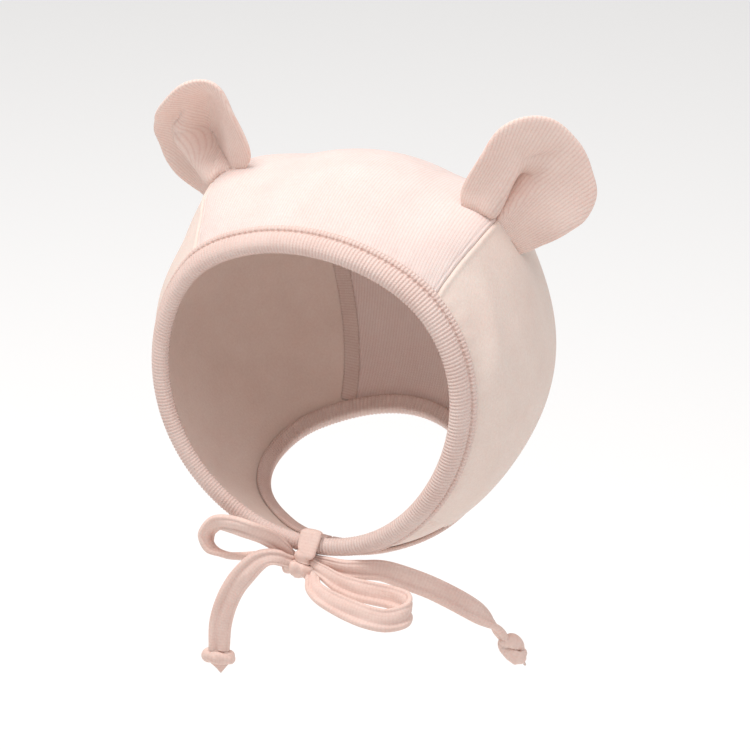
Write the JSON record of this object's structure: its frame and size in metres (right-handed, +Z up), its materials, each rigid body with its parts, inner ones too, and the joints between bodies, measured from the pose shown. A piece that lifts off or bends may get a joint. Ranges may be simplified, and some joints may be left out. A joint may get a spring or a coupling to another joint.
{
  "type": "baby bonnet with ears",
  "caption": "Close-fitting knit bonnet for a baby, with round ears on the crown, ribbed face and neck edges and ties knotted in a bow under the chin.",
  "frame": {"origin": "inside of the crown's top, where it rests on the head", "axes": "+Z up, the face opening looks toward -Y, the wearer's left is +X"},
  "size_m": [0.1588, 0.1357, 0.1989],
  "materials": {
    "jersey": "matt brushed cotton jersey, pale pink",
    "rib_knit": "matt fine cotton rib, pale pink"
  },
  "bodies": {
    "root": {"centre_panel": "jersey", "side_panel_left": "jersey", "side_panel_right": "jersey", "face_binding": "rib_knit", "neck_binding": "rib_knit", "ear_left": "jersey", "ear_right": "jersey", "bow_knot": "rib_knit", "loop_left": "rib_knit", "loop_right": "rib_knit", "tail_left": "rib_knit", "tail_right": "rib_knit", "tail_knot_left": "rib_knit", "tail_knot_right": "rib_knit"}
  },
  "joints": []
}
